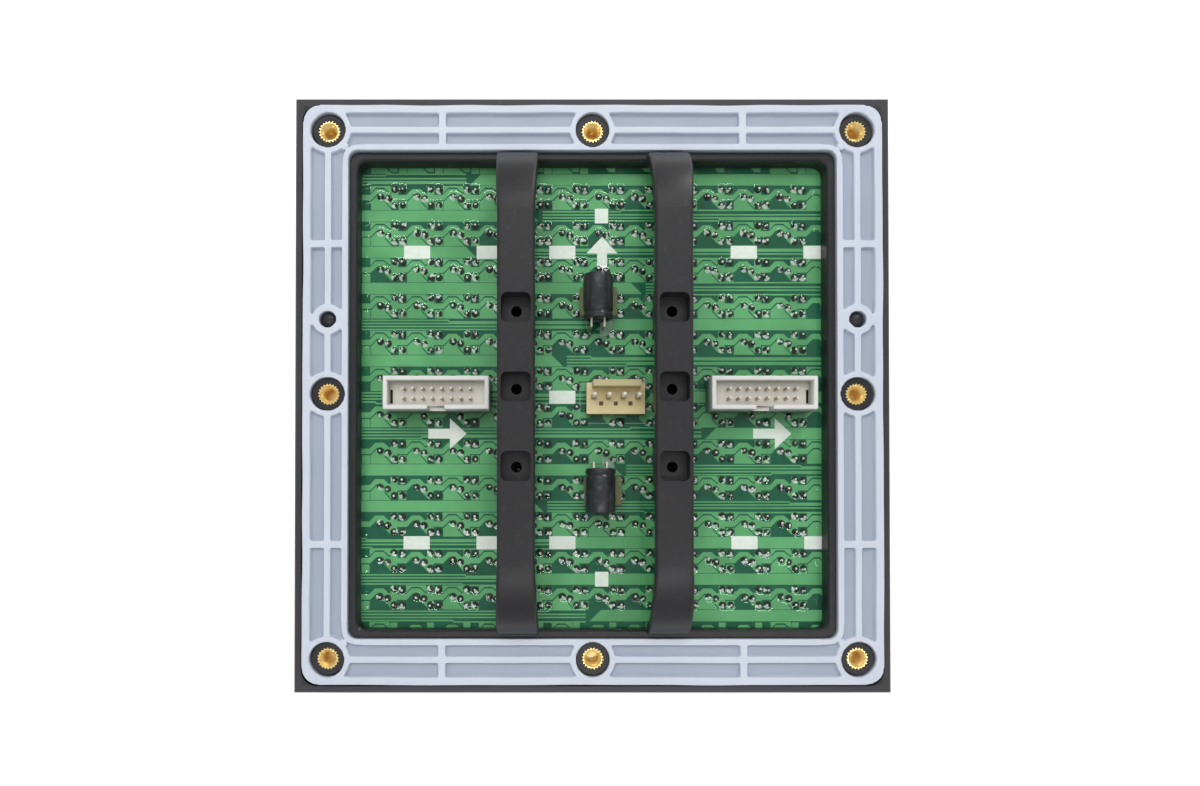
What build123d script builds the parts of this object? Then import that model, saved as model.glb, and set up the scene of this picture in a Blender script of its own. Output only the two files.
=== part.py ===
from build123d import *
import math
import os

# An outdoor LED display module that lies face down: X to the right and Y up as seen from behind,
# Z up from the visor tips to the back. All sizes are in millimetres.

# Display grid
pixel_pitch = 10.0
pixels_across = 16

# Front mask: visors, plate and skirt
visor_depth = 6.0
visor_root = 1.1
visor_tip = 0.7
mask_thickness = 2.0
board_standoff = 5.5
skirt_wall = 0.9
skirt_ledge = 0.4

# Lamps: one of each colour per pixel, set in a triangle
lamp_width = 3.8
lamp_height = 3.0
lamp_reach = 5.0
lamp_inset = 0.7
lamp_shift = 2.0
lamp_rise = 2.1

# Circuit board and potting
board_thickness = 1.6
board_gap = 0.2
potting_depth = 1.6

# Back case: rim, channel and the wall round the opening
rim_wall = 1.8
rim_height = 5.0
rim_corner_r = 4.5
edge_chamfer = 0.4
frame_width = 16.8
inner_wall = 2.0
opening_corner_r = 3.2
channel_height = 3.0
channel_plate = 1.2

# Threaded inserts and their bosses
insert_inset = 9.3
insert_r = 2.95
insert_bore_r = 1.65
insert_length = 5.0
insert_mouth = 0.5
boss_r = 4.3
boss_height = 5.5

# Locating pins
locating_pin_r = 2.0
locating_pin_height = 6.4
locating_pin_dome = 1.2
locating_pin_row = 2

# Crossbars with square wells and screw posts
crossbar_column = 2
crossbar_width = 9.6
crossbar_foot_width = 11.2
crossbar_height = 18.5
crossbar_thickness = 3.0
crossbar_bend = 19.0
crossbar_end_inset = 0.9
crossbar_edge_r = 0.9
well_row = 2
well_size = 7.6
well_depth = 4.5
well_floor = 1.2
well_corner_r = 1.6
well_hole_r = 1.4
post_top_r = 3.4
post_foot_r = 2.4
post_plug = 4.0

# Screws that clamp mask, board and case
screw_r = 1.0
screw_head_r = 1.6
screw_head_height = 1.1
screw_fit = 0.02
screw_clearance = 0.15
screw_seat_gap = 0.1
screw_skin = 0.4
screw_tip_gap = 0.2
mask_boss_r = 1.75
driver_access_r = 2.2
rim_screw_column = 4
rim_screw_inset = 10.0

# Gasket
gasket_outer_gap = 1.1
gasket_inner_gap = 0.2
gasket_web = 2.2
gasket_rib_height = 3.5
outer_rib = 2.0
centre_rib = 1.7
inner_rib = 1.6
cross_rib = 1.8
cross_rib_at = 40.2
cross_rib_end_gap = 0.5
ring_rib = 1.5
pin_ring_rib = 1.9
ring_gap = 0.2
gasket_corner_r = 4.0

# Ribbon-cable headers
header_pin_pitch = 2.54
header_columns = 8
header_end = 5.08
header_depth = 8.8
header_height = 9.1
header_wall = 1.1
header_floor = 2.6
header_notch = 4.5
header_notch_depth = 6.2
header_pin = 0.64
header_pin_height = 8.4
header_pin_point = 0.4
header_pin_inset = 0.1
input_header_shift = 2.5
output_header_shift = 1.3

# Power header
socket_pin_pitch = 3.96
socket_pins = 4
socket_end = 1.96
socket_depth = 8.5
socket_base = 3.8
socket_wall = 1.7
socket_wall_height = 9.0
socket_wall_inset = 1.5
socket_pin = 1.14
socket_pin_height = 9.6
socket_pin_point = 0.6
socket_pin_inset = 0.27
socket_pin_offset = 0.35
socket_hole = 1.1
socket_hole_offset = -1.45
socket_hole_depth = 0.9
socket_x = 6.4
socket_y = -0.8

# Capacitors and their pads
can_r = 4.0
can_length = 12.0
can_groove = 0.35
can_groove_from_end = 1.8
can_edge_r = 0.5
lead_r = 0.3
lead_sides = 6
lead_pitch = 3.5
lead_reach = 1.6
pad_width = 10.3
pad_depth = 8.0
pad_thickness = 1.8
upper_can_x = 1.5
upper_can_y = 26.0
upper_pad_x = 1.9
lower_can_x = 2.1
lower_can_y = -25.9
lower_pad_x = 3.05

# Chips on the hidden front of the board
driver_chip_size = 4.0
driver_chip_height = 0.9
driver_rows = (-5, -1, 3)
driver_columns = (-6, -3, 3, 6)
buffer_chip_length = 4.5
decoder_chip_length = 3.5
logic_chip_width = 2.5
logic_chip_height = 0.85
logic_row = 1
logic_columns = (-5, 0, 5)
switch_chip_size = 3.0
switch_row = -3
switch_columns = (-5, -1, 1, 5)

# Heights worked out from the sizes above
mask_face = visor_depth
mask_back = mask_face + mask_thickness
board_front = mask_back + board_standoff
board_back = board_front + board_thickness
rim_top = board_back + rim_height
channel_floor = board_back + channel_height
plate_bottom = channel_floor - channel_plate
boss_top = board_back + boss_height
crossbar_top = board_back + crossbar_height
potting_top = board_back + potting_depth

# Half widths from the centre, worked out from the sizes above
module_half = pixel_pitch * pixels_across / 2
rim_inner = module_half - rim_wall
board_pocket = module_half - skirt_wall
board_half = board_pocket - board_gap
opening_half = module_half - frame_width
wall_outer = opening_half + inner_wall
insert_at = module_half - insert_inset
crossbar_x = crossbar_column * pixel_pitch
well_y = well_row * pixel_pitch
window_centre = (opening_half + crossbar_x + crossbar_width / 2) / 2
header_length = header_pin_pitch * (header_columns - 1) + 2 * header_end
socket_length = socket_pin_pitch * (socket_pins - 1) + 2 * socket_end

# Places that more than one piece shares
sides = (-1, 1)
insert_places = [(x, y) for x in (-insert_at, 0, insert_at) for y in (-insert_at, 0, insert_at) if x or y]
well_places = [(x, y) for x in (-crossbar_x, crossbar_x) for y in (-well_y, 0, well_y)]
rim_screw_at = module_half - rim_screw_inset
rim_screw_along = rim_screw_column * pixel_pitch
rim_screw_places = [(sx * rim_screw_at, sy * rim_screw_along) for sx in sides for sy in sides]
rim_screw_places += [(sx * rim_screw_along, sy * rim_screw_at) for sx in sides for sy in sides]
screw_places = well_places + rim_screw_places
pin_places = [(side * insert_at, locating_pin_row * pixel_pitch) for side in sides]
pixel_lines = [(index - (pixels_across - 1) / 2) * pixel_pitch for index in range(pixels_across)]
lamp_offsets = ((-lamp_shift, 0), (lamp_shift, lamp_rise), (lamp_shift, -lamp_rise))
header_places = {
    "input": input_header_shift - window_centre,
    "output": output_header_shift + window_centre,
}


def slab(width, depth, low, high, x=0.0, y=0.0, corner_r=0.0):
    """A flat block between two heights, with rounded upright corners where asked."""
    outline = RectangleRounded(width, depth, corner_r) if corner_r else Rectangle(width, depth)
    return extrude(Pos(x, y, low) * outline, high - low)


def frame(outer_half, inner_half, low, high, outer_r=0.0, inner_r=0.0):
    """A square frame between two heights, given by its half widths."""
    outside = slab(2 * outer_half, 2 * outer_half, low, high, corner_r=outer_r)
    inside = slab(2 * inner_half, 2 * inner_half, low, high, corner_r=inner_r)
    return outside - inside


def rod(radius, low, high, x=0.0, y=0.0):
    """An upright cylinder between two heights."""
    return Pos(x, y, (low + high) / 2) * Cylinder(radius, high - low)


def tapered(width, depth, height, inset, x=0.0, y=0.0, low=0.0):
    """An upright block whose four sides lean in by an inset towards its top."""
    block = Wedge(width, height, depth, inset, inset, width - inset, depth - inset)
    return Pos(x, y, low + height / 2) * Rot(90, 0, 0) * block


def group(solids, name):
    """Separate solids kept side by side in one node."""
    return Compound(label=name, children=[piece.solid() for piece in solids])


def turned(profile):
    """A solid turned about Z from a closed outline of radius and height."""
    return revolve(Plane.XZ * make_face(Polyline(*profile, close=True).edges()), Axis.Z)


def crossbar(x):
    """One arched bar across the opening, flared at its feet, with rounded upper edges."""
    end = wall_outer - crossbar_end_inset
    bend_start = end - crossbar_bend
    rise = crossbar_top - rim_top
    inner_bend = crossbar_bend - crossbar_thickness
    inner_rise = rise - crossbar_thickness
    underside = rim_top + inner_rise
    bend_centre = (bend_start, rim_top)
    side = Curve() + [
        Line((0, crossbar_top), (bend_start, crossbar_top)),
        EllipticalCenterArc(bend_centre, crossbar_bend, rise, 0, arc_size=90),
        Line((end, rim_top), (end - crossbar_thickness, rim_top)),
        EllipticalCenterArc(bend_centre, inner_bend, inner_rise, 0, arc_size=90),
        Line((bend_start, underside), (0, underside)),
        Line((0, underside), (0, crossbar_top)),
    ]
    half = extrude(Plane.YZ * make_face(side.edges()), crossbar_foot_width / 2, both=True)
    whole = half + mirror(half, Plane.XZ)
    straight = crossbar_width / 2
    foot = crossbar_foot_width / 2
    plan = Polygon(
        (straight, -bend_start), (straight, bend_start), (foot, end), (-foot, end),
        (-straight, bend_start), (-straight, -bend_start), (-foot, -end), (foot, -end),
        align=None,
    )
    bar = whole & extrude(Pos(0, 0, rim_top) * plan, crossbar_top - rim_top)
    upper_edges = [
        edge for edge in bar.edges()
        if abs(edge.center().X) > straight - crossbar_edge_r and on_top_of_bar(edge, bend_start, rise)
    ]
    bar = fillet(upper_edges, crossbar_edge_r)
    return Pos(x, 0, 0) * bar


def on_top_of_bar(edge, bend_start, rise):
    """True for an edge that runs along the upper skin of a crossbar."""
    edge_reach = 0.2
    middle = edge.position_at(0.5)
    beyond = max(0.0, abs(middle.Y) - bend_start)
    height = rim_top + rise * math.sqrt(max(0.0, 1 - (beyond / crossbar_bend) ** 2))
    return abs(middle.Z - height) < edge_reach


def screw_post(x, y):
    """A well's cup under its crossbar, and the tapered post that carries it on the board."""
    well_bottom = crossbar_top - well_depth - well_floor
    cup = slab(crossbar_width, crossbar_width, well_bottom, crossbar_top - crossbar_thickness, x, y)
    height = well_bottom - board_back
    post = Pos(x, y, board_back + height / 2) * Cone(post_foot_r, post_top_r, height)
    return cup + post


def well_cut(x, y):
    """The square well, the hole in its floor and the narrow hole that a screw bites into."""
    well = slab(well_size, well_size, crossbar_top - well_depth, crossbar_top, x, y, well_corner_r)
    hole = rod(well_hole_r, board_back + post_plug, crossbar_top - well_depth, x, y)
    return well + hole + rod(screw_r + screw_fit, board_back, board_back + post_plug, x, y)


def back_case():
    """Rim, gasket channel, wall round the opening, bosses, pins and crossbars in one moulding."""
    case = frame(module_half, rim_inner, plate_bottom, rim_top, inner_r=rim_corner_r)
    case = chamfer(case.faces().sort_by(Axis.Z)[-1].outer_wire().edges(), edge_chamfer)
    case += frame(module_half, board_pocket, board_front, plate_bottom)
    middle_of_rim = (module_half + rim_inner) / 2
    case += frame(middle_of_rim, opening_half, plate_bottom, channel_floor, inner_r=opening_corner_r)
    wall_r = opening_corner_r + inner_wall
    wall = frame(wall_outer, opening_half, board_back, rim_top, wall_r, opening_corner_r)
    wall = chamfer(wall.faces().sort_by(Axis.Z)[-1].inner_wires()[0].edges(), edge_chamfer)
    case += wall
    for x, y in insert_places:
        case += rod(boss_r, board_back, boss_top, x, y)
    for x, y in pin_places:
        case += Pos(x, y) * locating_pin()
    for x, y in rim_screw_places:
        case += rod(post_foot_r, board_back, plate_bottom, x, y)
    for side in sides:
        case += crossbar(side * crossbar_x)
    for x, y in well_places:
        case += screw_post(x, y)
        case -= well_cut(x, y)
    for x, y in insert_places:
        case -= rod(insert_r, boss_top - insert_length, boss_top, x, y)
    for x, y in rim_screw_places:
        case -= rod(screw_r + screw_fit, board_back, channel_floor - screw_skin, x, y)
    return case


def locating_pin():
    """A pin with a domed top that stands in the gasket channel."""
    top = board_back + locating_pin_height
    dome_r = (locating_pin_r ** 2 + locating_pin_dome ** 2) / (2 * locating_pin_dome)
    return rod(locating_pin_r, plate_bottom, top) & Pos(0, 0, top - dome_r) * Sphere(dome_r)


def threaded_insert():
    """One brass insert: plain outside, threaded bore with a countersunk mouth."""
    low = boss_top - insert_length
    return turned([
        (insert_bore_r, low),
        (insert_r, low),
        (insert_r, boss_top),
        (insert_bore_r + insert_mouth, boss_top),
        (insert_bore_r, boss_top - insert_mouth),
    ])


def seal_gasket():
    """The silicone seal: a flat web with long ribs, cross ribs, and rings round bosses and pins."""
    outer = rim_inner - gasket_outer_gap
    inner = wall_outer + gasket_inner_gap
    web_top = channel_floor + gasket_web
    rib_top = channel_floor + gasket_rib_height
    inner_r = opening_corner_r + inner_wall + gasket_inner_gap
    seal = frame(outer, inner, channel_floor, web_top, gasket_corner_r, inner_r)
    seal += frame(outer, outer - outer_rib, channel_floor, rib_top, gasket_corner_r, gasket_corner_r - outer_rib)
    seal += frame(inner + inner_rib, inner, channel_floor, rib_top, inner_r + inner_rib, inner_r)
    centre = insert_at + centre_rib / 2
    seal += frame(centre, centre - centre_rib, channel_floor, rib_top)
    middle = (outer + inner) / 2
    span = outer - inner - 2 * cross_rib_end_gap
    for side in sides:
        for along in (-cross_rib_at, cross_rib_at):
            seal += slab(span, cross_rib, channel_floor, rib_top, side * middle, along)
            seal += slab(cross_rib, span, channel_floor, rib_top, along, side * middle)
    corner_rib_length = 2 * math.sqrt(2) * (insert_at - inner)
    for x in sides:
        for y in sides:
            corner = Pos(x * insert_at, y * insert_at) * Rot(0, 0, 45 * x * y)
            seal += corner * slab(corner_rib_length, cross_rib, channel_floor, rib_top)
    hole_r = boss_r + ring_gap
    for x, y in insert_places:
        seal += rod(hole_r + ring_rib, channel_floor, rib_top, x, y)
    pin_hole_r = locating_pin_r + ring_gap
    for x, y in pin_places:
        seal += rod(pin_hole_r + pin_ring_rib, channel_floor, rib_top, x, y)
    seal &= frame(outer, inner, channel_floor, rib_top, gasket_corner_r, inner_r)
    for x, y in insert_places:
        seal -= rod(hole_r, channel_floor, rib_top, x, y)
    for x, y in pin_places:
        seal -= rod(pin_hole_r, channel_floor, rib_top, x, y)
    return seal


def circuit_board():
    """The board, clamped between the mask's skirt and the case, with its screw holes."""
    board = slab(2 * board_half, 2 * board_half, board_front, board_back)
    for x, y in screw_places:
        board -= rod(screw_r + screw_clearance, board_front, board_back, x, y)
    return board


def clear_potting():
    """The clear layer cast over the board inside the opening, round what stands on it."""
    layer = slab(2 * opening_half, 2 * opening_half, board_back, potting_top, corner_r=opening_corner_r)
    for x in header_places.values():
        layer -= slab(header_length, header_depth, board_back, potting_top, x)
    layer -= slab(socket_length, socket_depth, board_back, potting_top, socket_x, socket_y)
    layer -= slab(pad_width, pad_depth, board_back, potting_top, upper_pad_x, upper_can_y)
    layer -= slab(pad_width, pad_depth, board_back, potting_top, lower_pad_x, lower_can_y)
    for x, y in well_places:
        layer -= screw_post(x, y)
    for can in (upper_capacitor(), lower_capacitor()):
        layer -= can
    return layer


def front_mask():
    """The face plate with visors, lamps, a skirt, and sleeves for the screws."""
    mask = slab(2 * module_half, 2 * module_half, mask_face, mask_back)
    for row in pixel_lines:
        root = row + pixel_pitch / 2
        blade = Polyline(
            (root - visor_root, mask_face), (root, mask_face), (root, 0), (root - visor_tip, 0), close=True)
        mask += Pos(-module_half, 0, 0) * extrude(Plane.YZ * make_face(blade.edges()), 2 * module_half)
    mask += frame(module_half, board_pocket - skirt_ledge, mask_back, board_front)
    for x, y in screw_places:
        mask -= rod(driver_access_r, 0, mask_face, x, y)
        mask += rod(mask_boss_r, mask_back, board_front, x, y)
        mask -= rod(screw_head_r + screw_seat_gap, mask_face, mask_face + screw_head_height, x, y)
        mask -= rod(screw_r + screw_clearance, mask_face + screw_head_height, board_front, x, y)
    return mask + lamps()


def mask_screw():
    """One self-tapping screw, head down in the mask's face."""
    tip = channel_floor - screw_skin - screw_tip_gap
    seat = mask_face + screw_head_height
    return rod(screw_head_r, mask_face, seat) + rod(screw_r, seat, tip)


def lamps():
    """The tapered bodies of all lamps, three for each pixel, standing on the mask's face."""
    body = Pos(0, 0, mask_face) * Rot(180, 0, 0) * tapered(lamp_width, lamp_height, lamp_reach, lamp_inset)
    return [
        Pos(column + shift, row + rise) * body
        for shift, rise in lamp_offsets for column in pixel_lines for row in pixel_lines
    ]


def header_shell(x):
    """The open shell of a ribbon-cable header, with its key notch and pin holes."""
    top = board_back + header_height
    floor = board_back + header_floor
    shell = slab(header_length, header_depth, board_back, top, x)
    shell -= slab(header_length - 2 * header_wall, header_depth - 2 * header_wall, floor, top, x)
    notch_y = (header_wall - header_depth) / 2
    shell -= slab(header_notch, header_wall, top - header_notch_depth, top, x, notch_y)
    return shell


def header_pins(name, x):
    """Two rows of square pins with pointed tips, standing on the floor of a header."""
    low = board_back + header_floor
    top = board_back + header_pin_height
    shoulder = top - header_pin_point
    pin = slab(header_pin, header_pin, low, shoulder)
    pin += tapered(header_pin, header_pin, header_pin_point, header_pin_inset, low=shoulder)
    first = x - header_pin_pitch * (header_columns - 1) / 2
    places = [
        (first + column * header_pin_pitch, row * header_pin_pitch)
        for column in range(header_columns) for row in (-0.5, 0.5)
    ]
    return group([Pos(px, py) * pin for px, py in places], name)


def socket_pin_places():
    """Pin centres of the power header, from left to right."""
    first = socket_x - socket_pin_pitch * (socket_pins - 1) / 2
    return [(first + index * socket_pin_pitch, socket_y + socket_pin_offset) for index in range(socket_pins)]


def power_socket_housing():
    """The power header's base, its raised rear wall and the square holes between the pins."""
    base_top = board_back + socket_base
    housing = slab(socket_length, socket_depth, board_back, base_top, socket_x, socket_y)
    wall_y = socket_y + (socket_depth - socket_wall) / 2
    wall_length = socket_length - 2 * socket_wall_inset
    housing += slab(wall_length, socket_wall, base_top, board_back + socket_wall_height, socket_x, wall_y)
    places = socket_pin_places()
    for (left, _), (right, _) in zip(places, places[1:]):
        hole_y = socket_y + socket_hole_offset
        middle = (left + right) / 2
        housing -= slab(socket_hole, socket_hole, base_top - socket_hole_depth, base_top, middle, hole_y)
    for x, y in places:
        housing -= slab(socket_pin, socket_pin, board_back, base_top, x, y)
    return housing


def power_socket_pins():
    """The four square pins of the power header."""
    low = board_back
    shoulder = low + socket_pin_height - socket_pin_point
    pin = slab(socket_pin, socket_pin, low, shoulder)
    pin += tapered(socket_pin, socket_pin, socket_pin_point, socket_pin_inset, low=shoulder)
    return group([Pos(x, y) * pin for x, y in socket_pin_places()], "power_socket_pins")


def capacitor(x, y, lead_side):
    """A can lying on its pad along Y, with two leads bent down to the board at one end."""
    axis_z = board_back + pad_thickness + can_r
    half = can_length / 2
    groove = half - can_groove_from_end
    can = turned([
        (0, -half),
        (can_r - can_edge_r, -half),
        (can_r, can_edge_r - half),
        (can_r, groove - can_groove),
        (can_r - can_groove, groove),
        (can_r, groove + can_groove),
        (can_r, half - can_edge_r),
        (can_r - can_edge_r, half),
        (0, half),
    ])
    can = Rot(-90 * lead_side, 0, 0) * can
    height = axis_z - board_back
    for side in sides:
        path = FilletPolyline(
            (side * lead_pitch / 2, lead_side * half, 0),
            (side * lead_pitch / 2, lead_side * (half + lead_reach), 0),
            (side * lead_pitch / 2, lead_side * (half + lead_reach), -height),
            radius=lead_reach / 2,
        )
        can += sweep(Plane(path @ 0, z_dir=path % 0) * RegularPolygon(lead_r, lead_sides), path)
    return Pos(x, y, axis_z) * can


def upper_capacitor():
    """The capacitor above the power header, with its leads towards it."""
    return capacitor(upper_can_x, upper_can_y, -1)


def lower_capacitor():
    """The capacitor below the power header, with its leads towards it."""
    return capacitor(lower_can_x, lower_can_y, 1)


def chip(length, width, height, column, row):
    """One leadless chip soldered to the board's front, between two rows of pixels."""
    x = column * pixel_pitch
    y = row * pixel_pitch
    return slab(length, width, board_front - height, board_front, x, y)


def chips():
    """Drivers, buffers, the line decoder and the row switches, each by its node name."""
    placed = {}
    spots = [(column, row) for row in driver_rows for column in driver_columns]
    for index, (column, row) in enumerate(spots, start=1):
        name = f"driver_chip_{index:02d}"
        placed[name] = chip(driver_chip_size, driver_chip_size, driver_chip_height, column, row)
    logic = ("buffer_chip_1", "decoder_chip", "buffer_chip_2")
    for name, column in zip(logic, logic_columns):
        length = decoder_chip_length if name == "decoder_chip" else buffer_chip_length
        placed[name] = chip(length, logic_chip_width, logic_chip_height, column, logic_row)
    for index, column in enumerate(switch_columns, start=1):
        placed[f"row_switch_{index}"] = chip(
            switch_chip_size, switch_chip_size, logic_chip_height, column, switch_row)
    return placed


def module():
    """Every node of the module, by name."""
    nodes = {
        "back_case": back_case(),
        "seal_gasket": seal_gasket(),
        "threaded_inserts": group([Pos(x, y) * threaded_insert() for x, y in insert_places], "inserts"),
        "circuit_board": circuit_board(),
        "clear_potting": clear_potting(),
        "front_mask": front_mask(),
        "mask_screws": group([Pos(x, y) * mask_screw() for x, y in screw_places], "screws"),
        "power_socket_housing": power_socket_housing(),
        "power_socket_pins": power_socket_pins(),
        "upper_capacitor": upper_capacitor(),
        "lower_capacitor": lower_capacitor(),
        "upper_capacitor_pad": slab(
            pad_width, pad_depth, board_back, board_back + pad_thickness, upper_pad_x, upper_can_y),
        "lower_capacitor_pad": slab(
            pad_width, pad_depth, board_back, board_back + pad_thickness, lower_pad_x, lower_can_y),
    }
    for name, x in header_places.items():
        nodes[f"{name}_header_shell"] = header_shell(x)
        nodes[f"{name}_header_pins"] = header_pins(f"{name}_pins", x)
    nodes.update(chips())
    return nodes


if __name__ == "__main__":
    os.makedirs("parts", exist_ok=True)
    for name, shape in module().items():
        export_step(shape, f"parts/{name}.step")
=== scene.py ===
"""An outdoor LED display module, seen from behind and lying on its face.

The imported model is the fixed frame. Each operator below dresses one piece, or one group of like pieces,
with finer shapes and procedural finishes. Lengths are in metres, except where a comment says millimetres.
"""

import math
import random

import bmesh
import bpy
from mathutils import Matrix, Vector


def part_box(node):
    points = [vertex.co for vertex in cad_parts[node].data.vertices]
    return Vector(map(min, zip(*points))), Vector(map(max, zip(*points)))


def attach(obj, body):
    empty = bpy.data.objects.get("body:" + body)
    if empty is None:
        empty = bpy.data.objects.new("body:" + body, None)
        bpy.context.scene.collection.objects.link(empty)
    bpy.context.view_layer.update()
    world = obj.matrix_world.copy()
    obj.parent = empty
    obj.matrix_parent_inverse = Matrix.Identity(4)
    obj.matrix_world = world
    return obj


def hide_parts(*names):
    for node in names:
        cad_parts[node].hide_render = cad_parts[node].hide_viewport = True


bl_info = {
    "name": "LED display module",
    "version": (1, 0, 0),
    "blender": (4, 5, 0),
    "location": "3D View > Sidebar > LED Module",
    "description": "Dresses the packed model of an outdoor LED display module",
    "category": "Object",
}

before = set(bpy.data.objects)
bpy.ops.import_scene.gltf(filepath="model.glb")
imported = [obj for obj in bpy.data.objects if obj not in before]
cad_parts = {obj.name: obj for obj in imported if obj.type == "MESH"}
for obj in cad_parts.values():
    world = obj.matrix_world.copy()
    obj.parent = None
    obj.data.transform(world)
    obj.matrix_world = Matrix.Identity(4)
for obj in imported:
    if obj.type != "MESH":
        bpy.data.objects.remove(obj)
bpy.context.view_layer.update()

# Places that the frame gives
mm = 0.001
module_low, module_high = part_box("back_case")
seal_low, seal_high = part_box("seal_gasket")
insert_low, insert_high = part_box("threaded_inserts")
module_half = (module_high.x - module_low.x) / 2
board_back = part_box("circuit_board")[1].z
opening_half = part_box("clear_potting")[1].x
mask_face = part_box("front_mask")[0].z + 6 * mm
screw_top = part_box("mask_screws")[1].z

# Display grid
pixel_pitch = 10 * mm
cells = 16
lamp_offsets = ((-2 * mm, 0), (2 * mm, 2.1 * mm), (2 * mm, -2.1 * mm))
lamp_reach = 5 * mm

# Places on the back case
crossbar_x = 20 * mm
wells = [(x, y) for x in (-crossbar_x, crossbar_x) for y in (-2 * pixel_pitch, 0, 2 * pixel_pitch)]
wall_width = 2 * mm
insert_at = module_half - 9.3 * mm
rim_screw_at = 70 * mm
rim_screw_along = 40 * mm


def cell_lines(half):
    """Centre lines of the pixels that lie within a half width of the middle."""
    lines = [(index - (cells - 1) / 2) * pixel_pitch for index in range(cells)]
    return [line for line in lines if abs(line) < half]


def clamped(value):
    """A value held between 0 and 1."""
    return min(1.0, max(0.0, value))


# Node wiring

def add(tree, kind, inputs=None, **settings):
    """Adds a node: its inputs are linked to a socket or set to a value, settings are its properties."""
    made = tree.nodes.new(kind)
    for name, value in settings.items():
        setattr(made, name, value)
    for key, value in (inputs or {}).items():
        fill(tree, made.inputs[key], value)
    return made


def fill(tree, socket, value):
    """Links an input to another node's socket, or sets its value."""
    if isinstance(value, bpy.types.NodeSocket):
        tree.links.new(value, socket)
    else:
        socket.default_value = value


def new_group(name, kind, inputs, outputs):
    """A node group with named sockets, and its input and output nodes."""
    tree = bpy.data.node_groups.new(name, kind)
    for label, held, value in inputs:
        socket = tree.interface.new_socket(label, in_out="INPUT", socket_type="NodeSocket" + held)
        if value is not None:
            socket.default_value = value
    for label, held in outputs:
        tree.interface.new_socket(label, in_out="OUTPUT", socket_type="NodeSocket" + held)
    return tree, tree.nodes.new("NodeGroupInput"), tree.nodes.new("NodeGroupOutput")


def object_place(tree):
    """The place on the object."""
    return add(tree, "ShaderNodeTexCoord").outputs["Object"]


def surface_normal(tree):
    """The way that the surface faces."""
    return add(tree, "ShaderNodeNewGeometry").outputs["Normal"]


def parts(tree, vector):
    """A vector's X, Y and Z."""
    return add(tree, "ShaderNodeSeparateXYZ", {"Vector": vector}).outputs


def noise(tree, scale, detail):
    """A noise texture laid on the object."""
    return add(tree, "ShaderNodeTexNoise", {"Vector": object_place(tree), "Scale": scale, "Detail": detail})


def stretched(tree, value, low, high, first=0.0, last=1.0):
    """A value brought from one range to another, and held inside it."""
    made = add(tree, "ShaderNodeMapRange", {
        "Value": value, "From Min": low, "From Max": high, "To Min": first, "To Max": last})
    return made.outputs["Result"]


def combined(tree, operation, first, second, **settings):
    """Two values put together by one operation."""
    made = add(tree, "ShaderNodeMath", {0: first, 1: second}, operation=operation, **settings)
    return made.outputs["Value"]


def mixed(tree, share, first, second, blend_type="MIX"):
    """Two colours mixed by a share."""
    made = add(tree, "ShaderNodeMix", {"Factor": share, "A": first, "B": second},
               data_type="RGBA", blend_type=blend_type)
    return made.outputs["Result"]


def grain_group():
    """Fine moulded grain: a bumped normal, and a soft mask that follows the grain."""
    tree, given, result = new_group(
        "moulded_grain", "ShaderNodeTree",
        [("Scale", "Float", 900.0), ("Depth", "Float", 0.00004)],
        [("Normal", "Vector"), ("Mask", "Float")])
    height = noise(tree, given.outputs["Scale"], 3.0).outputs["Fac"]
    bump = add(tree, "ShaderNodeBump", {"Distance": given.outputs["Depth"], "Height": height})
    fill(tree, result.inputs["Normal"], bump.outputs["Normal"])
    fill(tree, result.inputs["Mask"], height)
    return tree


def mottle_group():
    """Two colours mixed in soft patches, as in a moulding or a coated surface."""
    tree, given, result = new_group(
        "mottled_colour", "ShaderNodeTree",
        [("Colour", "Color", None), ("Patch Colour", "Color", None),
         ("Scale", "Float", 100.0), ("Amount", "Float", 0.5)],
        [("Colour", "Color")])
    patches = noise(tree, given.outputs["Scale"], 4.0).outputs["Fac"]
    share = stretched(tree, patches, 0.4, 0.62, 0.0, given.outputs["Amount"])
    colour = mixed(tree, share, given.outputs["Colour"], given.outputs["Patch Colour"])
    fill(tree, result.inputs["Colour"], colour)
    return tree


def dust_group():
    """Pale dust in scattered specks on faces that look up."""
    tree, given, result = new_group(
        "settled_dust", "ShaderNodeTree",
        [("Colour", "Color", None), ("Dust Colour", "Color", None),
         ("Scale", "Float", 700.0), ("Amount", "Float", 0.3)],
        [("Colour", "Color")])
    specks = stretched(tree, noise(tree, given.outputs["Scale"], 5.0).outputs["Fac"], 0.55, 0.75)
    facing = parts(tree, surface_normal(tree))["Z"]
    upward = combined(tree, "MULTIPLY", specks, facing, use_clamp=True)
    share = combined(tree, "MULTIPLY", upward, given.outputs["Amount"])
    colour = mixed(tree, share, given.outputs["Colour"], given.outputs["Dust Colour"])
    fill(tree, result.inputs["Colour"], colour)
    return tree


grain = grain_group()
mottle = mottle_group()
dust = dust_group()


def rgb(red, green, blue):
    """A colour written as it shows on a screen, from 0 to 255, as a shader colour."""
    return tuple((value / 255) ** 2.2 for value in (red, green, blue)) + (1.0,)


def toned(colour, *shares):
    """A colour with its red, green and blue scaled by shares of what shows on a screen."""
    return tuple(part * share ** 2.2 for part, share in zip(colour, shares)) + (1.0,)


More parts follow.
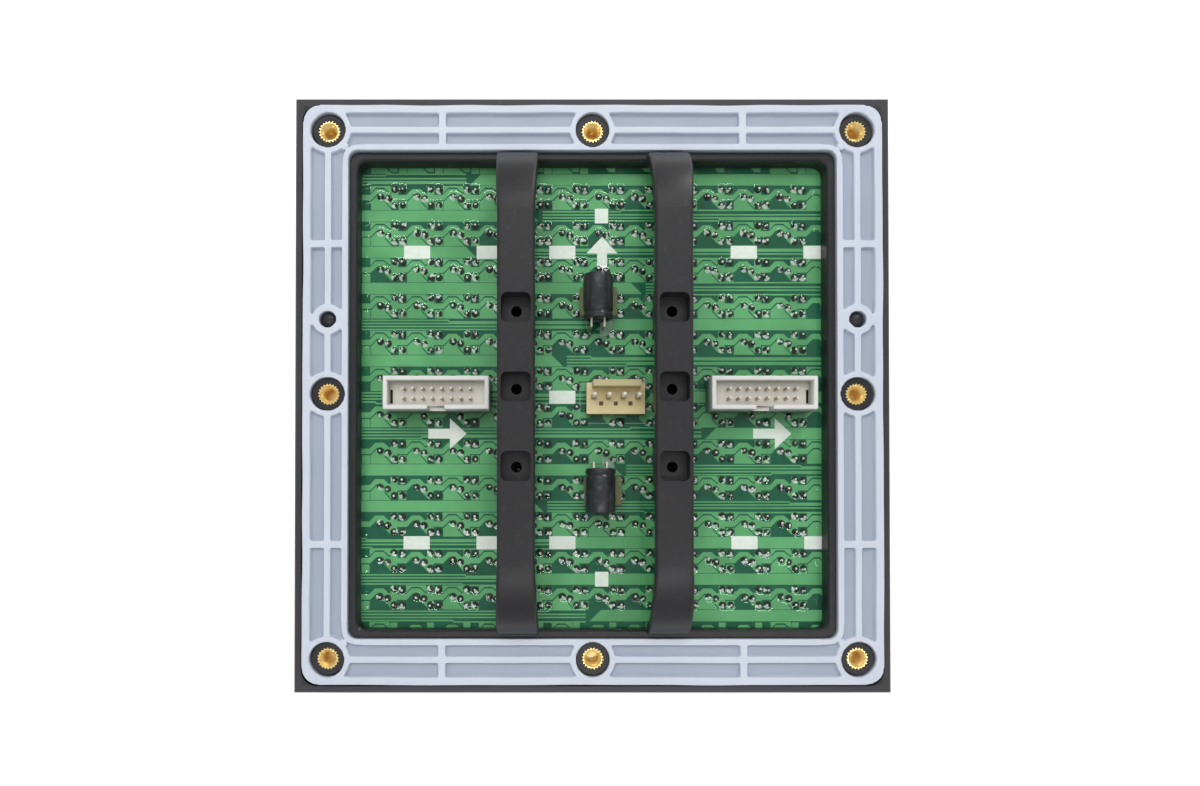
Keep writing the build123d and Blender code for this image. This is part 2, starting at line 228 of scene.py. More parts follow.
def finish(name, colour, roughness, patches, patch_scale, grain_scale, grain_depth,
           dusty=0.0, wire=None, **sockets):
    """A Principled material with mottled colour, moulded grain and settled dust, kept under its name; a
    wire, where given, adds a tint that paints shade or light.
    """
    made = bpy.data.materials.new(name)
    made.use_nodes = True
    tree = made.node_tree
    surface = tree.nodes["Principled BSDF"].inputs
    surface["Roughness"].default_value = roughness
    for key, value in sockets.items():
        surface[key.replace("_", " ")].default_value = value
    shade = add(tree, "ShaderNodeGroup", {
        "Colour": colour, "Patch Colour": patches, "Scale": patch_scale}, node_tree=mottle)
    colour_out = shade.outputs["Colour"]
    if wire:
        colour_out = wire(tree, colour_out)
    specks = add(tree, "ShaderNodeGroup", {
        "Colour": colour_out, "Dust Colour": rgb(190, 188, 182), "Amount": dusty}, node_tree=dust)
    fill(tree, surface["Base Color"], specks.outputs["Colour"])
    relief = add(tree, "ShaderNodeGroup", {"Scale": grain_scale, "Depth": grain_depth}, node_tree=grain)
    fill(tree, surface["Normal"], relief.outputs["Normal"])
    gloss = stretched(tree, relief.outputs["Mask"], 0.0, 1.0, roughness * 0.85, min(1.0, roughness * 1.15))
    fill(tree, surface["Roughness"], gloss)
    finishes[name] = made
    return made


# Tints a colour by height through (height, tint) stops; the finishes use it for painted shade.
def by_height(*stops):
    low, high = stops[0][0], stops[-1][0]

    def wire(tree, colour):
        share = stretched(tree, parts(tree, object_place(tree))["Z"], low, high)
        ramp = add(tree, "ShaderNodeValToRGB", {"Fac": share})
        marks = ramp.color_ramp.elements
        marks[1].color = stops[-1][1]
        marks[0].color = stops[0][1]
        for height, tint in stops[1:-1]:
            marks.new((height - low) / (high - low)).color = tint
        return multiplied(tree, colour, ramp.outputs["Color"])
    return wire


# Painted shade: faces that turn away from up are tinted towards the side colour, and faces that look up keep
# the full colour.
def by_facing(side_colour, edge, full):
    def wire(tree, colour):
        share = stretched(tree, parts(tree, surface_normal(tree))["Z"], edge, full)
        return tinted(tree, colour, share, side_colour, white)
    return wire


# Tints a colour by how far a place lies out from the middle, between an inner and an outer reach; the case
# finish uses it to paint light on its outer rim.
def by_reach(inner, outer, tint):
    def wire(tree, colour):
        both = add(tree, "ShaderNodeVectorMath", {0: object_place(tree)}, operation="ABSOLUTE")
        out = parts(tree, both.outputs["Vector"])
        share = stretched(tree, combined(tree, "MAXIMUM", out["X"], out["Y"]), inner, outer)
        return tinted(tree, colour, share, white, tint)
    return wire


# Painted highlight and shade on the solder joints: the cone is painted nearly black, except for a painted
# highlight patch on the side that faces a direction which varies across the board, and the lead's tip is
# painted white as its highlight.
def lit_patch(tree, colour):
    swing = (4.0, 4.0, 0.0)
    start = (-2.25, -2.6, 0.0)
    side = add(tree, "ShaderNodeVectorMath", {
        0: noise(tree, 260.0, 0.0).outputs["Color"], 1: swing, 2: start}, operation="MULTIPLY_ADD")
    toward = add(tree, "ShaderNodeVectorMath", {
        0: surface_normal(tree), 1: side.outputs["Vector"]}, operation="DOT_PRODUCT")
    height = parts(tree, object_place(tree))["Z"]
    patch = stretched(tree, toward.outputs["Value"], 0.36, 0.52)
    cone_end = board_back + sizes().joint_height
    on_cone = stretched(tree, height, cone_end - 0.11 * mm, cone_end - 0.01 * mm, 1.0, 0.0)
    on_tip = stretched(tree, height, cone_end + 0.27 * mm, cone_end + 0.35 * mm)
    lit = combined(tree, "MAXIMUM", combined(tree, "MULTIPLY", patch, on_cone), on_tip)
    return tinted(tree, colour, lit, solder_painted_shade, white)


def tinted(tree, colour, share, low_tint, high_tint):
    """A colour multiplied by a tint that goes from one to another by a share."""
    return multiplied(tree, colour, mixed(tree, share, low_tint, high_tint))


def multiplied(tree, colour, tint):
    """One colour multiplied by another."""
    return mixed(tree, 1.0, colour, tint, "MULTIPLY")


# Finishes

white = (1.0, 1.0, 1.0, 1.0)
# Painted shade: the gasket's low webs are tinted darker than its ribs.
web_painted_shade = (0.62, 0.645, 0.67, 1.0)
# Painted shade on the solder joints' cones.
solder_painted_shade = (0.015, 0.022, 0.018, 1.0)
# Painted shade on the pins' sides.
pin_side_painted_shade = (0.3, 0.24, 0.15, 1.0)
dim = (0.7, 0.74, 0.74, 1.0)
# Painted shade inside the header fill's slit.
slit_painted_shade = (0.06, 0.05, 0.035, 1.0)
# Painted shade in the power header's pin holes.
hole_painted_shade = (0.3, 0.2, 0.12, 1.0)
# Painted shade and painted green reflection of the board on the header shells' lower sides.
shell_foot_painted_shade = (0.1, 0.19, 0.12, 1.0)
# Painted light: brightens the case's outer rim.
rim_painted_light = (2.3, 2.15, 2.25, 1.0)
finishes = {}


def clear_finish():
    """Clear potting: glossy, refracting, and open to the light that falls on the board below."""
    made = finish("clear_silicone", rgb(252, 255, 253), 0.03, rgb(244, 252, 247), 100.0, 120.0, 0.00003,
                  Transmission_Weight=1.0, IOR=1.41)
    tree = made.node_tree
    path = add(tree, "ShaderNodeLightPath")
    open_light = add(tree, "ShaderNodeBsdfTransparent", {"Color": (0.97, 0.99, 0.975, 1.0)})
    mix = add(tree, "ShaderNodeMixShader", {
        0: path.outputs["Is Shadow Ray"], 1: tree.nodes["Principled BSDF"].outputs["BSDF"],
        2: open_light.outputs["BSDF"]})
    fill(tree, tree.nodes["Material Output"].inputs["Surface"], mix.outputs["Shader"])


def case_finishes(colours):
    """Finishes of the case, the mask, the gasket, the inserts and the screws."""
    # Case: painted light brightens its outer rim.
    finish("case_black", colours.case, 0.4, toned(colours.case, 0.85, 0.85, 0.86),
           60.0, 1600.0, 0.00003, 0.02,
           wire=by_reach(module_half - 2.4 * mm, module_half - 1.9 * mm, rim_painted_light))
    finish("mask_black", rgb(38, 38, 40), 0.6, rgb(30, 30, 32), 80.0, 1400.0, 0.00004, 0.05)
    # Gasket: painted shade tints it darker towards its low webs, and its rib tops keep the full colour.
    finish("seal_silicone", colours.seal, 0.36, toned(colours.seal, 0.96, 0.965, 0.976),
           45.0, 500.0, 0.00004,
           wire=by_height((seal_low.z + 2.2 * mm, web_painted_shade), (seal_high.z - 0.4 * mm, white)),
           Subsurface_Weight=0.35, Subsurface_Radius=(1.0, 1.0, 1.1), Subsurface_Scale=0.0015,
           Specular_IOR_Level=0.4)
    finish("insert_brass", rgb(255, 228, 158), 0.22, rgb(250, 214, 134), 900.0, 3000.0, 0.00001,
           Metallic=0.55)
    finish("screw_steel", rgb(120, 121, 124), 0.3, rgb(96, 97, 100), 900.0, 2600.0, 0.00001, Metallic=1.0)


def board_finishes(colours):
    """Finishes of the board, its copper, print, solder and chips, and of the clear potting."""
    finish("board_green", colours.board, 0.4, toned(colours.board, 0.538, 0.747, 0.685),
           70.0, 2200.0, 0.00001, Specular_IOR_Level=0.1)
    finish("copper_green", colours.copper, 0.38, toned(colours.copper, 0.692, 0.785, 0.715),
           60.0, 2200.0, 0.00001, Specular_IOR_Level=0.1)
    finish("print_white", colours.marks, 0.55, toned(colours.marks, 0.941, 0.942, 0.941),
           700.0, 1800.0, 0.00001)
    finish("print_faint", rgb(128, 166, 142), 0.5, rgb(108, 146, 122), 900.0, 1800.0, 0.00001)
    clear_finish()
    # Solder: painted shade on the cones, and painted highlights on one side of each cone and on the lead
    # tips.
    finish("solder", rgb(250, 252, 248), 0.2, rgb(226, 230, 224), 600.0, 900.0, 0.00002,
           wire=lit_patch, Coat_Weight=1.0, Coat_Roughness=0.03)
    finish("chip_black", rgb(40, 41, 43), 0.5, rgb(34, 35, 37), 400.0, 2600.0, 0.00002)


def fitting_finishes(colours):
    """Finishes of the headers, their pins and compound, and of the capacitors and their pads."""
    # Header shells: painted shade and painted green reflection of the board, darker towards the board.
    finish("shell_grey", colours.shell, 0.45, toned(colours.shell, 0.966, 0.966, 0.966),
           150.0, 1300.0, 0.00002,
           wire=by_height((board_back + 3 * mm, shell_foot_painted_shade), (board_back + 9 * mm, white)))
    # Header compound: painted shade below its top, which shows inside the slit.
    finish("header_fill", rgb(236, 232, 222), 0.16, rgb(224, 218, 202), 140.0, 260.0, 0.0001,
           wire=by_height((board_back + 4.4 * mm, slit_painted_shade), (board_back + 4.85 * mm, white)),
           Coat_Weight=0.8, Coat_Roughness=0.06)
    # Power header: painted shade at the bottom of its pin holes, and the tan darker towards its top.
    finish("housing_tan", colours.housing, 0.42, toned(colours.housing, 0.95, 0.932, 0.88),
           150.0, 1300.0, 0.00002,
           wire=by_height((board_back + 3.3 * mm, hole_painted_shade), (board_back + 3.6 * mm, white),
                          (board_back + 4.2 * mm, white), (board_back + 5 * mm, dim)))
    # Pins: a near-white colour that stands in for the highlight on their tips, and painted shade on their
    # sides.
    finish("pin_metal", rgb(255, 250, 232), 0.2, rgb(250, 238, 206), 1200.0, 3000.0, 0.00001,
           wire=by_facing(pin_side_painted_shade, 0.05, 0.2), Metallic=0.05)
    finish("can_sleeve", rgb(46, 48, 51), 0.3, rgb(39, 41, 44), 300.0, 1200.0, 0.00002, 0.1)
    finish("can_end", rgb(196, 198, 200), 0.3, rgb(176, 178, 182), 900.0, 2500.0, 0.00001, Metallic=1.0)
    finish("pad_olive", rgb(124, 128, 96), 0.8, rgb(108, 112, 82), 500.0, 1800.0, 0.0001, 0.2)


def lens_finishes():
    """Tinted clear plastic for the lamps of each colour."""
    for name, colour, patches in (
            ("lens_red", rgb(196, 40, 34), rgb(176, 30, 28)),
            ("lens_green", rgb(44, 150, 84), rgb(34, 132, 72)),
            ("lens_blue", rgb(48, 84, 190), rgb(38, 72, 170))):
        finish(name, colour, 0.12, patches, 200.0, 900.0, 0.00001,
               Transmission_Weight=0.35, Coat_Weight=0.6, Coat_Roughness=0.05)


# Meshes

def lathe(profile, steps, ripple=None):
    """A shape turned about Z from (radius, height) pairs; ripple(index, radius) scales each step."""
    shape = bmesh.new()
    rings = []
    for radius, height in profile:
        if radius == 0:
            rings.append([shape.verts.new((0, 0, height))])
            continue
        ring = []
        for index in range(steps):
            angle = 2 * math.pi * index / steps
            reach = radius * (ripple(index, radius) if ripple else 1)
            ring.append(shape.verts.new((reach * math.cos(angle), reach * math.sin(angle), height)))
        rings.append(ring)
    for low, high in zip(rings, rings[1:]):
        for index in range(steps):
            after = (index + 1) % steps
            around = ((low, index), (low, after), (high, after), (high, index))
            corners = [level[at % len(level)] for level, at in around]
            shape.faces.new(list(dict.fromkeys(corners)))
    bmesh.ops.recalc_face_normals(shape, faces=shape.faces)
    return shape


def cad_copy(node, flat_angle=1.0):
    """A CAD node's mesh with its corners merged and its flat areas made whole."""
    shape = bmesh.new()
    shape.from_mesh(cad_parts[node].data)
    bmesh.ops.remove_doubles(shape, verts=shape.verts, dist=1e-6)
    if flat_angle:
        bmesh.ops.dissolve_limit(
            shape, angle_limit=math.radians(flat_angle), verts=shape.verts, edges=shape.edges)
    return shape


def mesh_object(name, shape):
    """An object at the origin that holds a finished shape."""
    mesh = bpy.data.meshes.new(name)
    shape.to_mesh(mesh)
    shape.free()
    made = bpy.data.objects.new(name, mesh)
    bpy.context.scene.collection.objects.link(made)
    return made


def plain_mesh(made):
    """The mesh that an object shows, with its modifiers taken in."""
    graph = bpy.context.evaluated_depsgraph_get()
    return bpy.data.meshes.new_from_object(made.evaluated_get(graph), depsgraph=graph)


def settle(made):
    """Turns an object's modifiers into plain mesh."""
    mesh = plain_mesh(made)
    made.modifiers.clear()
    made.data = mesh
    return made


def place(made, finish_name, slot, *nodes, smooth=35.0, level=False):
    """Gives a piece its finish and its part in the frame; level keeps faces along X, Y or Z flat."""
    if finish_name:
        made.data.materials.clear()
        made.data.materials.append(finishes[finish_name])
    made.data.shade_smooth()
    made.data.set_sharp_from_angle(angle=math.radians(smooth))
    if level:
        for face in made.data.polygons:
            face.use_smooth = max(abs(part) for part in face.normal) < 0.9999
    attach(made, "root")
    if nodes:
        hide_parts(*nodes)
    return made


def bevelled(made, width, segments=2, angle=35.0):
    """Rounds an object's edges."""
    bevel = made.modifiers.new("rounded_edges", "BEVEL")
    bevel.width = width
    bevel.segments = segments
    bevel.limit_method = "ANGLE"
    bevel.angle_limit = math.radians(angle)
    return settle(made)


def cut(made, shape):
    """Takes a shape away from an object."""
    tool = mesh_object("cutter", shape)
    boolean = made.modifiers.new("cut", "BOOLEAN")
    boolean.operation = "DIFFERENCE"
    boolean.solver = "EXACT"
    boolean.object = tool
    settle(made)
    bpy.data.objects.remove(tool)
    return made


def block(low, high):
    """A box between two corners."""
    shape = bmesh.new()
    size = Vector(high) - Vector(low)
    middle = (Vector(low) + Vector(high)) / 2
    bmesh.ops.create_cube(shape, size=1, matrix=Matrix.Translation(middle) @ Matrix.Diagonal((*size, 1)))
    return shape


# Repeats

def repeat_tree():
    """Geometry Nodes: a shape set on every point, with a seeded change of turn, lean and size."""
    tree, given, result = new_group(
        "set_on_places", "GeometryNodeTree",
        [("Places", "Geometry", None), ("Shape", "Object", None),
         ("Lean", "Float", 0.0), ("Turn", "Float", 0.0),
         ("Size Change", "Float", 0.0), ("Seed", "Int", 0),
         ("Finish", "Material", None)],
        [("Geometry", "Geometry")])
    inputs = given.outputs
    shape = add(tree, "GeometryNodeObjectInfo", {"Object": inputs["Shape"]})
    most = add(tree, "ShaderNodeCombineXYZ", {
        "X": inputs["Lean"], "Y": inputs["Lean"], "Z": inputs["Turn"]}).outputs["Vector"]
    least = add(tree, "ShaderNodeVectorMath", {0: most, "Scale": -1.0}, operation="SCALE").outputs["Vector"]
    turn = add(tree, "FunctionNodeRandomValue", {
        0: least, 1: most, "Seed": inputs["Seed"]}, data_type="FLOAT_VECTOR")
    smaller = combined(tree, "SUBTRACT", 1.0, inputs["Size Change"])
    larger = combined(tree, "ADD", 1.0, inputs["Size Change"])
    size = add(tree, "FunctionNodeRandomValue", {
        2: smaller, 3: larger, "Seed": inputs["Seed"]}, data_type="FLOAT")
    spread = add(tree, "GeometryNodeInstanceOnPoints", {
        "Points": inputs["Places"], "Instance": shape.outputs["Geometry"],
        "Rotation": turn.outputs["Value"], "Scale": size.outputs[1]})
    hand_out(tree, given, result, spread.outputs["Instances"])
    return tree


def track_tree():
    """Geometry Nodes: a flat strip along every line of a mesh, as copper on a board."""
    tree, given, result = new_group(
        "strips_on_lines", "GeometryNodeTree",
        [("Lines", "Geometry", None), ("Width", "Float", 0.0003),
         ("Height", "Float", 0.00005), ("Finish", "Material", None)],
        [("Geometry", "Geometry")])
    line = add(tree, "GeometryNodeMeshToCurve", {"Mesh": given.outputs["Lines"]})
    section = add(tree, "GeometryNodeCurvePrimitiveQuadrilateral", {
        "Width": given.outputs["Width"], "Height": given.outputs["Height"]})
    strip = add(tree, "GeometryNodeCurveToMesh", {
        "Curve": line.outputs["Curve"], "Profile Curve": section.outputs["Curve"], "Fill Caps": True})
    hand_out(tree, given, result, strip.outputs["Mesh"])
    return tree


def hand_out(tree, given, result, geometry):
    """Makes a tree's copies real, gives them the finish and hands them out."""
    real = add(tree, "GeometryNodeRealizeInstances", {"Geometry": geometry})
    coat = add(tree, "GeometryNodeSetMaterial", {
        "Geometry": real.outputs["Geometry"], "Material": given.outputs["Finish"]})
    fill(tree, result.inputs["Geometry"], coat.outputs["Geometry"])


trees = {"repeat": repeat_tree(), "track": track_tree()}


def grown(name, start, tree_name, **values):
    """An object whose mesh a Geometry Nodes tree makes from a start, with the tree's inputs set by name."""
    made = mesh_object(name, start)
    modifier = made.modifiers.new("shape", "NODES")
    modifier.node_group = trees[tree_name]
    for item in modifier.node_group.interface.items_tree:
        key = item.name.lower().replace(" ", "_")
        if item.in_out == "INPUT" and key in values:
            modifier[item.identifier] = values[key]
    return settle(made)


def repeated(name, shape, places, finish_name, **values):
    """One shape set on many places and joined into one piece."""
    pattern = mesh_object(name + "_pattern", shape)
    points = bmesh.new()
    for spot in places:
        points.verts.new(spot)
    made = grown(name, points, "repeat", shape=pattern, finish=finishes[finish_name], **values)
    bpy.data.objects.remove(pattern)
    return made


# Settings

def length(name, description, default, least=0.0):
    """A length that the panel shows."""
    return bpy.props.FloatProperty(
        name=name, description=description, default=default, unit="LENGTH", min=least)


def paint(name, description, default):
    """A colour that the panel shows."""
    return bpy.props.FloatVectorProperty(
        name=name, description=description, default=default, subtype="COLOR", size=4, min=0.0, max=1.0)


class ModuleSizes(bpy.types.PropertyGroup):
    """Sizes that change how the dressed pieces look."""
    seal_skin: length("Seal skin", "Size of the faces on the gasket's rounded skin", 0.3 * mm, 0.2 * mm)
    seal_wave: length("Seal wave", "How far the gasket's outer edge draws in from the rim", 0.4 * mm)
    joint_radius: length("Solder joint radius", "Radius of a lamp's solder joint on the board", 1.02 * mm)
    joint_height: length("Solder joint height", "Height of a solder joint over the board", 0.95 * mm)
    copper_height: length("Copper height", "How far the copper areas stand over the bare board", 0.06 * mm)
    copper_gap: length("Copper gap", "Width of the dark line between two copper areas", 0.34 * mm)
    knurl_teeth: bpy.props.IntProperty(
        name="Knurl teeth", description="Teeth round each brass insert", default=20, min=3)


class ModuleColours(bpy.types.PropertyGroup):
    """Colours of the pieces that a maker would order in another one."""
    case: paint("Case", "The moulded back case", rgb(40, 40, 43))
    seal: paint("Gasket", "The silicone gasket", rgb(224, 231, 246))
    board: paint("Board", "The bare coated board", rgb(26, 99, 73))
    copper: paint("Copper", "The coated copper areas and tracks", rgb(107, 181, 123))
    marks: paint("Print", "Label blocks and arrows on the board", rgb(238, 242, 236))
    shell: paint("Ribbon headers", "The shells of the two ribbon-cable headers", rgb(238, 237, 235))
    housing: paint("Power header", "The housing of the power header", rgb(238, 219, 166))


class ModuleLight(bpy.types.PropertyGroup):
    """Light and camera of the stage."""
    key_power: bpy.props.FloatProperty(
        name="Main light", description="Power of the soft light beyond the module's top edge",
        default=0.6, min=0.0)
    world_strength: bpy.props.FloatProperty(
        name="Surroundings", description="Strength of the even light from all round", default=0.52, min=0.0)
    camera_height: length("Camera height", "Height of the camera over the board's back", 210 * mm)


def sizes():
    """The sizes that the panel holds."""
    return bpy.context.scene.module_sizes


class MixFinishes(bpy.types.Operator):
    """Mixes the finishes of all pieces, from the panel's colours where it has one"""
    bl_idname = "module.mix_finishes"
    bl_label = "Finishes"

    def execute(self, context):
        colours = context.scene.module_colours
        case_finishes(colours)
        board_finishes(colours)
        fitting_finishes(colours)
        lens_finishes()
        return {"FINISHED"}


# The back case

class DressCase(bpy.types.Operator):
    """Smooths the case's moulding and gives it its matte black finish"""
    bl_idname = "module.dress_case"
    bl_label = "Back case"

    def execute(self, context):
        case = mesh_object("case_moulding", cad_copy("back_case", 0.2))
        for vertex in case.data.vertices:
            vertex.co += corner_draw(vertex.co)
        place(case, "case_black", "case_black", "back_case", smooth=28.0, level=True)
        return {"FINISHED"}


def corner_draw(spot):
    """How far a place near the wall's outer corner moves out, so that the corner is tighter."""
    wide = 5.2 * mm
    tight = 2.4 * mm
    still = 1 * mm
    fade_start = 7.2 * mm
    fade_end = 9.1 * mm
    straight = wide - tight
    corner_at = opening_half + wall_width - wide
    x = abs(spot.x) - corner_at
    y = abs(spot.y) - corner_at
    if min(x, y) <= 0:
        return Vector((0, 0, 0))
    distance = math.hypot(x, y)
    long, short = max(x, y) / distance, min(x, y) / distance
    reach = wide / long
    if reach * short > straight:
        along = (long + short) * straight
        reach = along + math.sqrt(along ** 2 - 2 * straight ** 2 + tight ** 2)
    inside = clamped((distance - still) / (wide - still)) ** 2
    outside = clamped((fade_end - distance) / (fade_end - fade_start))
    out = (reach - wide) * inside * outside / distance
    return Vector((math.copysign(x * out, spot.x), math.copysign(y * out, spot.y), 0))


class DressSeal(bpy.types.Operator):
    """Rounds the gasket's ribs, tightens its corners and lets its outer edge wander a little"""
    bl_idname = "module.dress_seal"
    bl_label = "Seal gasket"

    def execute(self, context):
        seal = mesh_object("silicone_seal", cad_copy("seal_gasket", 0.0))
        remesh = seal.modifiers.new("even_skin", "REMESH")
        remesh.mode = "VOXEL"
        remesh.voxel_size = sizes().seal_skin
        soften = seal.modifiers.new("rounded_edges", "SMOOTH")
        soften.factor = 0.5
        soften.iterations = 1
        thin = seal.modifiers.new("fewer_faces", "DECIMATE")
        thin.ratio = 0.36
        settle(seal)
        for vertex in seal.data.vertices:
            vertex.co += corner_draw(vertex.co)
            vertex.co += seal_drift(vertex.co)
        place(seal, "seal_silicone", "seal_silicone", "seal_gasket", smooth=50.0)
        return {"FINISHED"}


def seal_drift(spot):
    """How far the soft gasket's outer edge draws in and sinks, more between some inserts than others."""
    inner = opening_half + wall_width + 0.4 * mm
    sag = 0.08 * mm
    slow_wave = 240
    fast_wave = 310
    cross_wave = 500
    on_side = abs(spot.x) > abs(spot.y)
    along = spot.y if on_side else spot.x
    across = max(abs(spot.x), abs(spot.y)) - inner
    share = clamped(across / (seal_high.x - inner))
    side = 1 if spot.x < spot.y else -1
    between_inserts = math.sin(math.pi * along / insert_at) ** 2
    wander = side * between_inserts * (0.3 + 0.15 * math.sin(along * slow_wave))
    out = sizes().seal_wave * share * (wander - 1)
    sink = sag * share * (math.sin(along * fast_wave + across * cross_wave) - 1)
    if on_side:
        return Vector((math.copysign(out, spot.x), 0, sink))
    return Vector((0, math.copysign(out, spot.y), sink))


class DressInserts(bpy.types.Operator):
    """Makes the brass inserts: toothed ring, countersunk mouth and threaded blind bore"""
    bl_idname = "module.dress_inserts"
    bl_label = "Brass inserts"

    def execute(self, context):
        top = insert_high.z
        low = insert_low.z
        outer = 2.95 * mm
        bore = 1.65 * mm
        mouth = 2.28 * mm
        tooth = 0.42 * mm
        scallop = (0.0, 0.2, 0.85, 1.0, 0.85, 0.2)
        thread_pitch = 0.7 * mm
        thread_depth = 0.3 * mm
        thread_top = top - 0.5 * mm
        floor = low + 0.4 * mm
        profile = [
            (0, low), (outer, low), (outer, top - 0.04 * mm), (outer - 0.04 * mm, top),
            (mouth + 0.1 * mm, top), (mouth + 0.06 * mm, top - 0.12 * mm),
            (mouth - 0.06 * mm, top - 0.06 * mm),
            (bore + thread_depth, thread_top)]
        for index in range(int((thread_top - floor) / thread_pitch)):
            crest = thread_top - (index + 0.5) * thread_pitch
            profile += [(bore, crest), (bore + thread_depth, crest - thread_pitch / 2)]
        profile += [(bore, floor), (0, floor)]

        def knurl(index, radius):
            depth = scallop[index % len(scallop)] if radius > outer - 0.2 * mm else 0
            return 1 - depth * tooth / outer

        ring = lathe(profile, sizes().knurl_teeth * len(scallop), knurl)
        lines = (-insert_at, 0, insert_at)
        spots = [(x, y, 0) for x in lines for y in lines if x or y]
        made = repeated("brass_inserts", ring, spots, "insert_brass", turn=math.pi, seed=5)
        place(made, None, "insert_brass", "threaded_inserts", smooth=30.0)
        return {"FINISHED"}


# The circuit board

# Places of a lamp cell's six solder joints, from the cell's middle
joint_spots = (
    (3.1 * mm, 2.1 * mm), (0.87 * mm, 2.3 * mm), (-3.0 * mm, 0.25 * mm),
    (-0.93 * mm, -0.3 * mm), (0.87 * mm, -2.04 * mm), (3.1 * mm, -2.04 * mm),
)


def on_open_board(x, y):
    """True where a solder joint clears the wall, the headers and the posts under the wells."""
    wall_gap = 1.1 * mm
    header_gap = 0.4 * mm
    post_gap = 3.2 * mm
    if max(abs(x), abs(y)) > opening_half - wall_gap:
        return False
    for node in ("input_header_shell", "output_header_shell", "power_socket_housing"):
        low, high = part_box(node)
        beside_x = low.x - header_gap < x < high.x + header_gap
        beside_y = low.y - header_gap < y < high.y + header_gap
        if beside_x and beside_y:
            return False
    return all(math.hypot(x - well_x, y - well_y) > post_gap for well_x, well_y in wells)


def solder_places():
    """Centres of the lamps' solder joints on the open board."""
    lines = cell_lines(opening_half)
    spots = [(column + dx, row + dy) for row in lines for column in lines for dx, dy in joint_spots]
    return [(x, y, board_back) for x, y in spots if on_open_board(x, y)]


class DressJoints(bpy.types.Operator):
    """Sets a solder joint with its trimmed lead on every lamp lead"""
    bl_idname = "module.dress_joints"
    bl_label = "Solder joints"

    def execute(self, context):
        radius = sizes().joint_radius
        height = sizes().joint_height
        lead = 0.3 * mm
        tip = height + 0.35 * mm
        cone = ((1.0, 0.0), (0.92, 0.2), (0.7, 0.42), (0.46, 0.68))
        profile = [(share * radius, rise * height) for share, rise in cone]
        profile += [(lead, height), (lead, tip), (0.75 * lead, tip + 0.14 * mm), (0, tip + 0.2 * mm)]
        made = repeated("solder_joints", lathe(profile, 12), solder_places(), "solder",
                        lean=0.16, turn=math.pi, size_change=0.1, seed=11)
        place(made, None, "pin_metal", smooth=60.0)
        return {"FINISHED"}


class FlatWork:
    """Thin flat areas that all lie between the same two heights."""

    def __init__(self, low, high):
        self.shape = bmesh.new()
        self.low = low
        self.high = high

    def area(self, outline):
        """Adds one flat area with an edge all round, from its outline seen from above."""
        top = [self.shape.verts.new((x, y, self.high)) for x, y in outline]
        foot = [self.shape.verts.new((x, y, self.low)) for x, y in outline]
        self.shape.faces.new(top)
        for index in range(len(top)):
            after = (index + 1) % len(top)
            self.shape.faces.new((top[index], foot[index], foot[after], top[after]))

    def bar(self, x, y, width, height):
        """Adds one upright rectangle centred on a place."""
        corners = ((-1, -1), (1, -1), (1, 1), (-1, 1))
        self.area([(x + sx * width / 2, y + sy * height / 2) for sx, sy in corners])

    def border(self, left, right, under, over, line):
        """Adds the four sides of a rectangle."""
        for y in (under, over):
            self.bar((left + right) / 2, y, right - left + line, line)
        for x in (left, right):
            self.bar(x, (under + over) / 2, line, over - under)

    def ring(self, x, y, radius, line):
        """Adds a circle's line as a row of short flat pieces."""
        inner = arc(x, y, radius - line, 0, 360)
        outer = arc(x, y, radius, 0, 360)
        for index in range(len(inner) - 1):
            self.area((inner[index], outer[index], outer[index + 1], inner[index + 1]))

    def arrow(self, x, y, turn):
        """Adds an arrow centred on a place: a shaft with a wide triangular head."""
        tail, neck, point = -5.25, 0.7, 5.25
        shaft, head = 1.36, 4.25
        side = ((tail, -shaft), (neck, -shaft), (neck, -head), (point, 0))
        other_side = ((neck, head), (neck, shaft), (tail, shaft))
        spin = Matrix.Rotation(math.radians(turn), 2)
        corners = [spin @ Vector(corner) * mm for corner in side + other_side]
        self.area([(x + corner.x, y + corner.y) for corner in corners])

    def finished(self, name):
        """An object that holds the areas, with all faces turned outward."""
        bmesh.ops.recalc_face_normals(self.shape, faces=self.shape.faces)
        return mesh_object(name, self.shape)


def arc(x, y, radius, start, stop, steps=24):
    """Points on part of a circle, by angles in degrees."""
    angles = [math.radians(start + (stop - start) * index / steps) for index in range(steps + 1)]
    return [(x + radius * math.cos(angle), y + radius * math.sin(angle)) for angle in angles]


# Copper of one cell, in millimetres from the cell's middle: the corners of the row's supply track over and
# under the cell, the cell's ends, the track's edges at those ends, and where the strip between rows begins
upper_cap = ((-4.4, 2.46), (-2.1, 2.46), (-0.5, 1.03), (-0.1, 1.45), (-0.1, 3.1))
upper_step = ((1.75, 3.1), (1.75, 0.85), (4.0, 0.85))
lower_hill = ((-5.74, -0.67), (-4.05, 1.03), (-2.45, 1.03), (-1.85, 0.35), (-1.85, -0.9), (-0.1, -2.75))
lower_step = ((1.6, -2.75), (1.6, -0.67))
cell_left = -5.9
cell_right = 4.0
track_over = 0.85
track_under = -0.67
strip_edge = 3.3


def at_cell(corners, column, row, lift=0.0):
    """Corners in millimetres moved to one cell, and up by a lift."""
    return [(column + dx * mm, row + dy * mm + lift) for dx, dy in corners]


def row_curves(row, columns):
    """The upper and lower edge of a row's shared supply track, from left to right."""
    upper = at_cell([(cell_left, track_over)], columns[0], row)
    lower = []
    for column in columns:
        upper += at_cell(upper_cap + upper_step, column, row)
        lower += at_cell(lower_hill + lower_step, column, row)
    return upper, lower + at_cell([(cell_right, track_under)], columns[-1], row)


